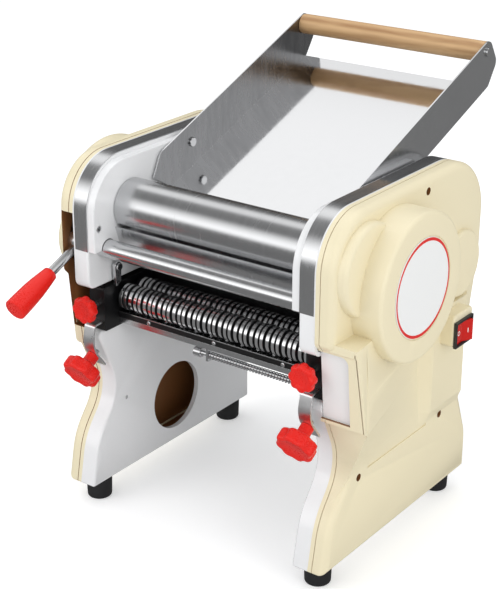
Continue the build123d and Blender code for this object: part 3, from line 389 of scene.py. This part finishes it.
# %% Beech
def beech():
    """Straight-grained pale wood with a few darker streaks and knots, along X."""
    material = bpy.data.materials.new("sealed beech")
    material.use_nodes = True
    tree = material.node_tree
    surface = tree.nodes["Principled BSDF"]
    place = tree.nodes.new("ShaderNodeTexCoord")
    along = tree.nodes.new("ShaderNodeMapping")
    along.inputs["Scale"].default_value = (7, 60, 60)
    streaks = tree.nodes.new("ShaderNodeTexNoise")
    streaks.inputs["Scale"].default_value = 1.6
    streaks.inputs["Detail"].default_value = 6
    streaks.inputs["Distortion"].default_value = 0.8
    rings = tree.nodes.new("ShaderNodeTexWave")
    rings.wave_type = "RINGS"
    rings.rings_direction = "X"
    rings.inputs["Scale"].default_value = 0.5
    rings.inputs["Distortion"].default_value = 7.0
    rings.inputs["Detail"].default_value = 3
    knot_place = tree.nodes.new("ShaderNodeMapping")
    knot_place.inputs["Scale"].default_value = (14, 24, 24)
    knots = tree.nodes.new("ShaderNodeTexVoronoi")
    knots.inputs["Scale"].default_value = 1.0
    knots.inputs["Randomness"].default_value = 1.0
    knot_edge = tree.nodes.new("ShaderNodeMapRange")
    knot_edge.inputs["From Min"].default_value = 0.06
    knot_edge.inputs["From Max"].default_value = 0.20
    figure = tree.nodes.new("ShaderNodeMath")
    figure.operation = "MULTIPLY_ADD"
    figure.inputs[1].default_value = 0.35
    ramp = tree.nodes.new("ShaderNodeValToRGB")
    ramp.color_ramp.elements[0].position = 0.25
    ramp.color_ramp.elements[0].color = (0.33, 0.165, 0.065, 1)
    ramp.color_ramp.elements[1].position = 0.85
    ramp.color_ramp.elements[1].color = (0.63, 0.40, 0.20, 1)
    darken = tree.nodes.new("ShaderNodeMix")
    darken.data_type = "RGBA"
    darken.inputs["A"].default_value = (0.16, 0.07, 0.025, 1)
    gloss = tree.nodes.new("ShaderNodeMapRange")
    gloss.inputs["To Min"].default_value = 0.52
    gloss.inputs["To Max"].default_value = 0.36
    bump = tree.nodes.new("ShaderNodeBump")
    bump.inputs["Strength"].default_value = 0.2
    bump.inputs["Distance"].default_value = 0.0005
    link(tree, place.outputs["Object"], along.inputs["Vector"])
    link(tree, along.outputs[0], streaks.inputs["Vector"])
    link(tree, along.outputs[0], rings.inputs["Vector"])
    link(tree, place.outputs["Object"], knot_place.inputs["Vector"])
    link(tree, knot_place.outputs[0], knots.inputs["Vector"])
    link(tree, knots.outputs["Distance"], knot_edge.inputs["Value"])
    link(tree, rings.outputs["Fac"], figure.inputs[0])
    link(tree, streaks.outputs["Fac"], figure.inputs[2])
    link(tree, figure.outputs[0], ramp.inputs["Fac"])
    link(tree, ramp.outputs["Color"], darken.inputs["B"])
    link(tree, knot_edge.outputs[0], darken.inputs["Factor"])
    link(tree, darken.outputs["Result"], surface.inputs["Base Color"])
    link(tree, streaks.outputs["Fac"], gloss.inputs["Value"])
    link(tree, gloss.outputs[0], surface.inputs["Roughness"])
    link(tree, streaks.outputs["Fac"], bump.inputs["Height"])
    link(tree, bump.outputs[0], surface.inputs["Normal"])
    return material


wood = beech()

# %% [markdown]
# ## Pieces that keep their CAD shape
# A CAD mesh is exact, but its edges are perfectly sharp, and a sharp edge catches no light. A copy of each
# visible piece has its loose triangles joined, gets a Bevel modifier as wide as the real edge is rounded, and
# stands in for the node. Pieces deep inside the machine only get their material. The tray's side walls get
# finishes of their own, because one of them stands in shade.


# %% Dressing a node
def body_of(node):
    """Name of the body that a CAD node rides on."""
    return frame["nodes"][node]["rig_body"]


def show(piece, node):
    """Let a finished piece ride with a CAD node's body and stand in for the node."""
    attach(piece, body_of(node))
    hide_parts(node)


def add_piece(name, mesh, *materials):
    """New object at the origin."""
    piece = bpy.data.objects.new(name, mesh)
    bpy.context.scene.collection.objects.link(piece)
    for material in materials:
        mesh.materials.append(material)
    return piece


def joined_copy(node):
    """Mesh of a CAD node with its triangles joined and its flat faces whole."""
    mesh = frame["nodes"][node].data.copy()
    mesh.materials.clear()
    cleaned = bmesh.new()
    cleaned.from_mesh(mesh)
    bmesh.ops.remove_doubles(cleaned, verts=cleaned.verts, dist=2e-6)
    bmesh.ops.dissolve_limit(cleaned, angle_limit=math.radians(0.5), verts=cleaned.verts, edges=cleaned.edges)
    cleaned.to_mesh(mesh)
    cleaned.free()
    return mesh


def round_edges(piece, width, segments=2, angle=35):
    """Bevel as a modifier, with shading that stays smooth across the new faces."""
    mesh = piece.data
    mesh.shade_smooth()
    mesh.set_sharp_from_angle(angle=math.radians(angle))
    if width:
        bevel = piece.modifiers.new("rounded edges", "BEVEL")
        bevel.width = width * MM
        bevel.segments = segments
        bevel.limit_method = "ANGLE"
        bevel.angle_limit = math.radians(angle)
        bevel.harden_normals = True


def dress(node, material, width=0.4, segments=2, angle=35):
    """Stand-in for a CAD node with rounded edges and a finish."""
    piece = add_piece(f"{node}_dressed", joined_copy(node), material)
    round_edges(piece, width, segments, angle)
    show(piece, node)
    return piece


DRESSED = [
    ("side_frame_left", white, 0.8), ("side_frame_right", white, 0.8), ("inner_liners", white, 0.5),
    ("edge_trims", brushed, 0.25), ("window_plate", plate_white, 0.3),
    ("feet", rubber, 0.8),
    ("roller_rear", chromed, 0.6), ("roller_front", chromed, 0.6),
    ("combs", cutter_steel, 0.2),
    ("comb_bars", black_paint, 0.4), ("cutter_cheeks", black_paint, 0.6), ("dough_guard", black_paint, 0.3),
    ("lower_rail", brushed, 0.4), ("release_pin", brushed, 0.4), ("clamp_hooks", hook_steel, 0.4),
    ("latch_tab_left", brushed, 0.4), ("latch_tab_right", brushed, 0.4), ("latch_pivots", brushed, 0.4),
    ("lever_arm", brushed, 0.4), ("lever_shaft", brushed, 0.3), ("lever_grip", red, 0.5),
    ("switch_housing", black_plastic, 0.5), ("scrapers", brushed, 0.2), ("tie_rods", brushed, 0.4),
    ("motor_housing", motor_grey, 0.8), ("frame_screws", gear_steel, 0.4),
]
for node, material, width in DRESSED:
    dress(node, material, width)
for node in ("roller_gear_rear", "roller_gear_front", "cutter_drive_gear", "main_gear", "cutter_idler_gear",
             "compound_gear", "motor_pinion", "cutter_gear_front", "cutter_gear_rear", "stub_axles",
             "roller_bushes", "bearing_blocks", "gap_links", "motor_rotor", "motor_stator", "motor_bearing",
             "capacitor_bracket"):
    frame["nodes"][node].data.materials.clear()
    frame["nodes"][node].data.materials.append(gear_steel)
frame["nodes"]["start_capacitor"].data.materials.clear()
frame["nodes"]["start_capacitor"].data.materials.append(black_plastic)
# Faces below each cutter's rim, on the core and the groove walls, get the near-black painted shade of the deep
# grooves.
for node in ("cutter_front", "cutter_rear"):
    cutter = dress(node, cutter_steel, 0.25)
    cutter.data.materials.append(groove_painted_shade)
    low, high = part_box(node)
    axis = (low + high) / 2
    rim = (high.z - low.z) / 2 - 0.0005
    for face in cutter.data.polygons:
        if math.hypot(face.center.y - axis.y, face.center.z - axis.z) < rim:
            face.material_index = 1
tray = dress("tray", mirror_sheet, 0.3)
tray.data.materials.append(wall_dark)
tray.data.materials.append(brushed)
for face in tray.data.polygons:
    if face.normal.x > 0.7:
        face.material_index = 1 if face.center.x < 0 else 2
print("dressed", len(DRESSED))

# %% [markdown]
# ## Side covers
# The two covers are cream mouldings. Their edges are the roundest on the machine, so the bevel is wide. The
# inside of the left one shows through the slot in which the lever swings, and it lies in shade there, so the
# faces that look into the shell get a dark brown material of their own, which is painted shade: from such a
# face, a ray meets the shell again.


# %% Covers
SHELL_DEPTH = 0.016


def paint_shade_inside(mesh, index):
    """Give the faces that look into a shell, where shade falls, the material of that index, which paints that
    shade.
    """
    tree = BVHTree.FromPolygons([v.co for v in mesh.vertices], [p.vertices for p in mesh.polygons])
    side = 1 if mesh.vertices[0].co.x > 0 else -1
    rim = min(side * v.co.x for v in mesh.vertices)
    painted = 0
    for face in mesh.polygons:
        depth = side * face.center.x - rim
        towards_frame = face.normal.x * side < -0.5 and depth > 0.002
        closed_in = (0.0002 < depth < SHELL_DEPTH and abs(face.normal.x) < 0.5
                     and tree.ray_cast(face.center + face.normal * 2e-4, face.normal, 0.4)[0] is not None)
        if towards_frame or closed_in:
            face.material_index = index
            painted += 1
    return painted


for node in ("cover_left", "cover_right"):
    # The second material is the painted shade inside the shell.
    cover = add_piece(f"{node}_shell", joined_copy(node), cream, cream_painted_shade)
    print(node, "inner faces", paint_shade_inside(cover.data, 1), "of", len(cover.data.polygons))
    round_edges(cover, 0.4, 2, 30)
    show(cover, node)

# %% [markdown]
# ## Hand knobs
# Four moulded knobs with eight lobes. A lobed disc follows a rule, so it is made as rings of points: the
# radius swings with the angle, and each ring is drawn in and set back a little, which rounds the rim.


# %% Knobs
LOBES = 8
KNOB_STEPS = 16 * LOBES
LOBE_DEPTH = 0.12
VALLEY_POWER = 2.4


def lobed_ring(radius, depth, swing):
    """Points of one ring in the knob's own plane, with the lobes as deep as the swing."""
    ring = []
    for k in range(KNOB_STEPS):
        a = 2 * math.pi * k / KNOB_STEPS
        valley = abs(math.sin(LOBES * a / 2))
        reach = radius - swing * valley**VALLEY_POWER
        ring.append(Vector((math.cos(a) * reach, math.sin(a) * reach, depth)))
    return ring


def turned(rings, close_first=True, close_last=True, loop=False):
    """Mesh through rings of equal length, open, capped or led back to the first ring."""
    made = bmesh.new()
    rows = [[made.verts.new(p) for p in ring] for ring in rings]
    count = len(rows[0])
    for low, high in zip(rows, rows[1:] + (rows[:1] if loop else [])):
        for k in range(count):
            made.faces.new((low[k], low[(k + 1) % count], high[(k + 1) % count], high[k]))
    if close_first:
        made.faces.new(list(reversed(rows[0])))
    if close_last:
        made.faces.new(rows[-1])
    bmesh.ops.recalc_face_normals(made, faces=made.faces)
    return made


def place_mesh(made, name, centre, axis):
    """Turn a bmesh so that its Z lies along an axis, move it to its centre, and give a plain mesh."""
    turn = Vector(axis).to_track_quat("Z", "X").to_matrix().to_4x4()
    made.transform(Matrix.Translation(centre) @ turn)
    mesh = bpy.data.meshes.new(name)
    made.to_mesh(mesh)
    made.free()
    return mesh


def knob(node, joint_name, radius, thick, neck, neck_r, stud):
    """Knob with rounded lobes, a dished face, a neck and a steel stud, on its joint's axis."""
    joint = next(j for j in frame["joints"] if j["name"] == joint_name)
    face, axis = Vector(joint["pos_m"]), Vector(joint["axis"])
    lobe = LOBE_DEPTH * radius
    profile = [(radius - 7.0, 1.0, 0.1), (radius - 5.6, 0.3, 0.3 * lobe), (radius - 3.2, 0.0, 0.7 * lobe),
               (radius - 1.5, 0.4, 0.9 * lobe), (radius - 0.4, 1.5, lobe), (radius, 3.0, lobe),
               (radius, thick - 2.4, lobe), (radius - 0.6, thick - 0.9, 0.95 * lobe),
               (radius - 2.0, thick, 0.7 * lobe), (neck_r + 1.5, thick, 0.1), (neck_r, thick + 0.8, 0),
               (neck_r, thick + neck, 0)]
    head = place_mesh(turned([lobed_ring(r * MM, d * MM, s * MM) for r, d, s in profile]), f"{node}_head",
                      face, axis)
    head_piece = add_piece(f"{node}_head", head, red)
    round_edges(head_piece, 0, angle=40)
    show(head_piece, node)
    root = thick + neck
    rows = [(2.6, root - 0.2), (2.6, root), (3.0, root + 0.4), (3.0, root + stud - 0.6), (2.4, root + stud)]
    shank = place_mesh(turned([lobed_ring(r * MM, d * MM, 0) for r, d in rows]), f"{node}_stud", face, axis)
    shank_piece = add_piece(f"{node}_stud", shank, brushed)
    round_edges(shank_piece, 0, angle=40)
    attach(shank_piece, body_of(node))


for hand in ("left", "right"):
    knob(f"top_knob_{hand}", f"top_knob_{hand}_turn", 13.2, 9.0, 5.8, 5.5, 17.1)
    knob(f"clamp_knob_{hand}", f"clamp_knob_{hand}_turn", 18.3, 12.8, 12.6, 6.2, 6.8)

# %% [markdown]
# ## Release spring
# A compression spring is a helix, which Geometry Nodes make from a Spiral curve and a round profile. The
# tree has inputs for the length, the turns and the two radii, so that the same tree makes any such spring.


# %% Spring tree
def node_tree(name, inputs):
    """Geometry node tree with a geometry socket at each end and named inputs."""
    tree = bpy.data.node_groups.new(name, "GeometryNodeTree")
    tree.interface.new_socket("Geometry", in_out="INPUT", socket_type="NodeSocketGeometry")
    for label, kind, value in inputs:
        socket = tree.interface.new_socket(label, in_out="INPUT", socket_type=kind)
        if value is not None:
            socket.default_value = value
    tree.interface.new_socket("Geometry", in_out="OUTPUT", socket_type="NodeSocketGeometry")
    return tree, tree.nodes.new("NodeGroupInput"), tree.nodes.new("NodeGroupOutput")


def spring_tree():
    """Helix along Z with a round wire."""
    tree, ends, out = node_tree("Wire Spring", [
        ("Length", "NodeSocketFloat", 0.1), ("Turns", "NodeSocketFloat", 20.0),
        ("Coil Radius", "NodeSocketFloat", 0.003), ("Wire Radius", "NodeSocketFloat", 0.0005),
        ("Material", "NodeSocketMaterial", None)])
    helix = tree.nodes.new("GeometryNodeCurveSpiral")
    helix.inputs["Resolution"].default_value = 18
    link(tree, ends.outputs["Length"], helix.inputs["Height"])
    link(tree, ends.outputs["Turns"], helix.inputs["Rotations"])
    link(tree, ends.outputs["Coil Radius"], helix.inputs["Start Radius"])
    link(tree, ends.outputs["Coil Radius"], helix.inputs["End Radius"])
    wire = tree.nodes.new("GeometryNodeCurvePrimitiveCircle")
    wire.inputs["Resolution"].default_value = 8
    link(tree, ends.outputs["Wire Radius"], wire.inputs["Radius"])
    sweep = tree.nodes.new("GeometryNodeCurveToMesh")
    sweep.inputs["Fill Caps"].default_value = True
    link(tree, helix.outputs["Curve"], sweep.inputs["Curve"])
    link(tree, wire.outputs["Curve"], sweep.inputs["Profile Curve"])
    real = tree.nodes.new("GeometryNodeRealizeInstances")
    coat = tree.nodes.new("GeometryNodeSetMaterial")
    link(tree, sweep.outputs["Mesh"], real.inputs["Geometry"])
    link(tree, real.outputs["Geometry"], coat.inputs["Geometry"])
    link(tree, ends.outputs["Material"], coat.inputs["Material"])
    link(tree, coat.outputs["Geometry"], out.inputs["Geometry"])
    return tree


def socket_key(tree, label):
    """Identifier of a tree's input, by its name."""
    return next(s.identifier for s in tree.interface.items_tree if s.name == label and s.in_out == "INPUT")


def baked(name, seed_mesh, tree, values):
    """Run a geometry tree on a mesh and keep the result as a plain mesh."""
    holder = bpy.data.objects.new(name, seed_mesh)
    bpy.context.scene.collection.objects.link(holder)
    modifier = holder.modifiers.new("nodes", "NODES")
    modifier.node_group = tree
    for label, value in values.items():
        modifier[socket_key(tree, label)] = value
    evaluated = holder.evaluated_get(bpy.context.evaluated_depsgraph_get())
    mesh = bpy.data.meshes.new_from_object(evaluated)
    bpy.data.objects.remove(holder)
    mesh.name = name
    return mesh


spring_low, spring_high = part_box("release_spring")
spring_axis = (spring_low + spring_high) / 2
spring_mesh = baked("release_spring_wire", bpy.data.meshes.new("seed"), spring_tree(), {
    "Length": spring_high.x - spring_low.x - 0.001, "Turns": 34.0, "Coil Radius": 0.0030,
    "Wire Radius": 0.00055, "Material": brushed})
spring_mesh.transform(Matrix.Translation((spring_low.x + 0.0005, spring_axis.y, spring_axis.z))
                      @ Matrix.Rotation(math.pi / 2, 4, "Y"))
spring_piece = add_piece("release_spring_wire", spring_mesh)
spring_mesh.shade_smooth()
show(spring_piece, "release_spring")
print("spring triangles", sum(len(p.vertices) - 2 for p in spring_mesh.polygons))

# %% [markdown]
# ## Screws
# Every screw on the outside is a cross-head screw of one of two sizes. A point with a direction stands for
# each screw, and a geometry tree puts the same head on every point, turned to its direction and scaled to
# its size. Reading the directions from named attributes keeps the tree short.


# %% Screw heads
def screw_head():
    """Cross-head screw of unit radius that looks along +Z, with its seat at zero."""
    around = [2 * math.pi * k / 24 for k in range(24)]
    dome = ((0.94, 0.0), (1.0, 0.08), (1.0, 0.25), (0.9, 0.45), (0.7, 0.56), (0.52, 0.6))
    made = turned([[Vector((math.cos(a) * r, math.sin(a) * r, z)) for a in around] for r, z in dome])
    mesh = bpy.data.meshes.new("cross head")
    made.to_mesh(mesh)
    made.free()
    slot_mesh = bmesh.new()
    lifted = Matrix.Translation((0, 0, 0.62))
    for size in ((0.95, 0.2, 0.7), (0.2, 0.95, 0.7)):
        bmesh.ops.create_cube(slot_mesh, size=1.0, matrix=lifted @ Matrix.Diagonal((*size, 1)))
    tool_mesh = bpy.data.meshes.new("cross tool")
    slot_mesh.to_mesh(tool_mesh)
    slot_mesh.free()
    head = bpy.data.objects.new("cross head", mesh)
    tool = bpy.data.objects.new("cross tool", tool_mesh)
    for thing in (head, tool):
        bpy.context.scene.collection.objects.link(thing)
    cut = head.modifiers.new("cross", "BOOLEAN")
    cut.operation = "DIFFERENCE"
    cut.object = tool
    cut.solver = "EXACT"
    cut.use_self = True
    result = bpy.data.meshes.new_from_object(head.evaluated_get(bpy.context.evaluated_depsgraph_get()))
    for thing in (head, tool):
        bpy.data.objects.remove(thing)
    result.shade_smooth()
    result.set_sharp_from_angle(angle=math.radians(40))
    return result


def screw_tree():
    """The same head on each point, turned to the point's axis."""
    tree, ends, out = node_tree("Screw Heads", [
        ("Head", "NodeSocketObject", None), ("Material", "NodeSocketMaterial", None)])
    head = tree.nodes.new("GeometryNodeObjectInfo")
    link(tree, ends.outputs["Head"], head.inputs["Object"])
    axis = tree.nodes.new("GeometryNodeInputNamedAttribute")
    axis.data_type = "FLOAT_VECTOR"
    axis.inputs["Name"].default_value = "axis"
    size = tree.nodes.new("GeometryNodeInputNamedAttribute")
    size.data_type = "FLOAT"
    size.inputs["Name"].default_value = "size"
    turn = tree.nodes.new("FunctionNodeAlignRotationToVector")
    turn.axis = "Z"
    link(tree, axis.outputs["Attribute"], turn.inputs["Vector"])
    put = tree.nodes.new("GeometryNodeInstanceOnPoints")
    link(tree, ends.outputs["Geometry"], put.inputs["Points"])
    link(tree, head.outputs["Geometry"], put.inputs["Instance"])
    link(tree, turn.outputs["Rotation"], put.inputs["Rotation"])
    link(tree, size.outputs["Attribute"], put.inputs["Scale"])
    real = tree.nodes.new("GeometryNodeRealizeInstances")
    coat = tree.nodes.new("GeometryNodeSetMaterial")
    link(tree, put.outputs["Instances"], real.inputs["Geometry"])
    link(tree, real.outputs["Geometry"], coat.inputs["Geometry"])
    link(tree, ends.outputs["Material"], coat.inputs["Material"])
    link(tree, coat.outputs["Geometry"], out.inputs["Geometry"])
    return tree


HEAD = bpy.data.objects.new("head pattern", screw_head())
SCREWS = screw_tree()


def screw_heads(name, screws, material, body, replaced):
    """One mesh of screw heads from (place, axis, radius in mm)."""
    points = bpy.data.meshes.new("screw points")
    points.from_pydata([(0, 0, 0)] * len(screws), [], [])
    points.attributes.new("axis", "FLOAT_VECTOR", "POINT")
    points.attributes.new("size", "FLOAT", "POINT")
    axes, sizes = points.attributes["axis"], points.attributes["size"]
    for k, (place, axis, radius) in enumerate(screws):
        points.vertices[k].co = place
        axes.data[k].vector = axis
        sizes.data[k].value = radius * MM
    mesh = baked(name, points, SCREWS, {"Head": HEAD, "Material": material})
    piece = add_piece(name, mesh)
    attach(piece, body)
    if replaced:
        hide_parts(replaced)
    return piece


def islands(node):
    """Boxes of the separate solids of a CAD node, as (low, high)."""
    made = bmesh.new()
    made.from_mesh(frame["nodes"][node].data)
    bmesh.ops.remove_doubles(made, verts=made.verts, dist=2e-6)
    left = set(made.verts)
    boxes = []
    while left:
        stack = [left.pop()]
        seen = set(stack)
        while stack:
            for edge in stack.pop().link_edges:
                for vert in edge.verts:
                    if vert not in seen:
                        seen.add(vert)
                        stack.append(vert)
        left -= seen
        points = [v.co for v in seen]
        boxes.append((Vector(min(p[i] for p in points) for i in range(3)),
                      Vector(max(p[i] for p in points) for i in range(3))))
    made.free()
    return boxes


COVER_SCREW_R, LINER_SCREW_R, BAR_SCREW_R = 3.4, 3.3, 2.2
COVER_SEAT, LINER_SEAT = 0.0025, 0.0017
panel = []
cover_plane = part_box("side_frame_right")[1].x
for low, high in islands("panel_screws"):
    middle = (low + high) / 2
    outward = 1 if middle.x > 0 else -1
    is_cover_screw = max(abs(low.x), abs(high.x)) > cover_plane + 0.001
    if is_cover_screw:
        seat = high.x - COVER_SEAT if outward > 0 else low.x + COVER_SEAT
        panel.append(((seat, middle.y, middle.z), (outward, 0, 0), COVER_SCREW_R))
    else:
        seat = low.x + LINER_SEAT if outward > 0 else high.x - LINER_SEAT
        panel.append(((seat, middle.y, middle.z), (-outward, 0, 0), LINER_SCREW_R))
screw_heads("panel_screw_heads", panel, brushed, "base", "panel_screws")
bar = [(((low.x + high.x) / 2, high.y, (low.z + high.z) / 2), (0, -1, 0), BAR_SCREW_R)
       for low, high in islands("bar_screws")]
screw_heads("bar_screw_heads", bar, brushed, "base", "bar_screws")
bpy.data.objects.remove(HEAD)
dress("tray_screws", brushed, 0.5)
print("panel screws", len(panel), "bar screws", len(bar))

# %% [markdown]
# ## Badge, handle and switch
# The badge is a blank disc with a printed ring, which is thicker above and below. The handle is a turned bar
# with eased ends. The rocker has the usual two marks, a bar and a ring.


# %% Badge
badge_low, badge_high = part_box("badge_plate")
badge_middle = (badge_low + badge_high) / 2
badge_axis = Vector((0, badge_middle.y, badge_middle.z))
badge_r = (badge_high.z - badge_low.z) / 2
STEPS = 96


def ring_points(radius_at, x):
    """Ring of points about the badge's centre, in a plane of constant X."""
    return [badge_axis + Vector((x, math.sin(a) * radius_at(a), math.cos(a) * radius_at(a)))
            for a in [2 * math.pi * k / STEPS for k in range(STEPS)]]


def ring_inner(a):
    """Inner radius of the printed ring: the ring is thicker at the top and the bottom."""
    return badge_r - (2.3 + 1.0 * math.cos(a) ** 2) * MM


face_x = badge_high.x - 0.0001
disc = turned([ring_points(lambda a: badge_r, badge_low.x), ring_points(lambda a: badge_r, face_x - 0.0006),
               ring_points(lambda a: badge_r - 0.0005, face_x - 0.0001),
               ring_points(lambda a: badge_r - 0.004, face_x - 0.0001)])
disc_mesh = bpy.data.meshes.new("badge_disc")
disc.to_mesh(disc_mesh)
disc.free()
badge_piece = add_piece("badge_disc", disc_mesh, plate_white)
round_edges(badge_piece, 0, angle=40)
show(badge_piece, "badge_plate")
ring_back = face_x - 0.0003
ring = turned([ring_points(ring_inner, ring_back), ring_points(lambda a: badge_r - 0.0005, ring_back),
               ring_points(lambda a: badge_r - 0.0005, face_x), ring_points(ring_inner, face_x)],
              close_first=False, close_last=False, loop=True)
ring_mesh = bpy.data.meshes.new("badge_ring")
ring.to_mesh(ring_mesh)
ring.free()
ring_piece = add_piece("badge_ring", ring_mesh, badge_red)
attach(ring_piece, "base")

# %% Handle
handle_low, handle_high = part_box("tray_handle")
handle_middle = (handle_low + handle_high) / 2
handle_r = (handle_high.z - handle_low.z) / 2
half = (handle_high.x - handle_low.x) / 2
HANDLE_PROFILE = [(-1.0, 0.86), (-0.995, 0.97), (-0.985, 1.0), (-0.5, 1.0), (0.0, 1.0), (0.5, 1.0),
                  (0.985, 1.0), (0.995, 0.97), (1.0, 0.86)]
round_bar = [2 * math.pi * k / 64 for k in range(64)]
bar_rings = [[Vector((math.cos(a) * s * handle_r, math.sin(a) * s * handle_r, t * half)) for a in round_bar]
             for t, s in HANDLE_PROFILE]
bar_mesh = place_mesh(turned(bar_rings), "tray_handle_bar", handle_middle, (1, 0, 0))
handle_piece = add_piece("tray_handle_bar", bar_mesh, wood)
round_edges(handle_piece, 0, angle=40)
show(handle_piece, "tray_handle")

# %% Switch
rocker = dress("switch_rocker", switch_red, 0.5, 3)
rocker_low, rocker_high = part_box("switch_rocker")
rocker_middle = (rocker_low + rocker_high) / 2
rocker_face = BVHTree.FromPolygons([v.co for v in rocker.data.vertices],
                                   [p.vertices for p in rocker.data.polygons])


def rocker_mark(name, across, width, height, line):
    """White oval mark on the rocker, drawn as an outline of the given line width."""
    start = Vector((rocker_high.x + 0.01, rocker_middle.y + across * MM, rocker_middle.z))
    place, normal = rocker_face.ray_cast(start, Vector((-1, 0, 0)))[:2]

    def outline(inset, depth):
        """Oval in the mark's own plane."""
        return [Vector((math.cos(a) * (height / 2 - inset), math.sin(a) * (width / 2 - inset), depth)) * MM
                for a in [2 * math.pi * k / 32 for k in range(32)]]

    made = turned([outline(line, -0.2), outline(0, -0.2), outline(0, 0.06), outline(line, 0.06)],
                  close_first=False, close_last=False, loop=True)
    mesh = place_mesh(made, name, place, normal)
    piece = add_piece(name, mesh, plate_white)
    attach(piece, body_of("switch_rocker"))


rocker_mark("rocker_mark_off", -6.2, 4.6, 4.6, 0.75)
rocker_mark("rocker_mark_on", 6.2, 0.95, 5.0, 0.45)

low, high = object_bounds()
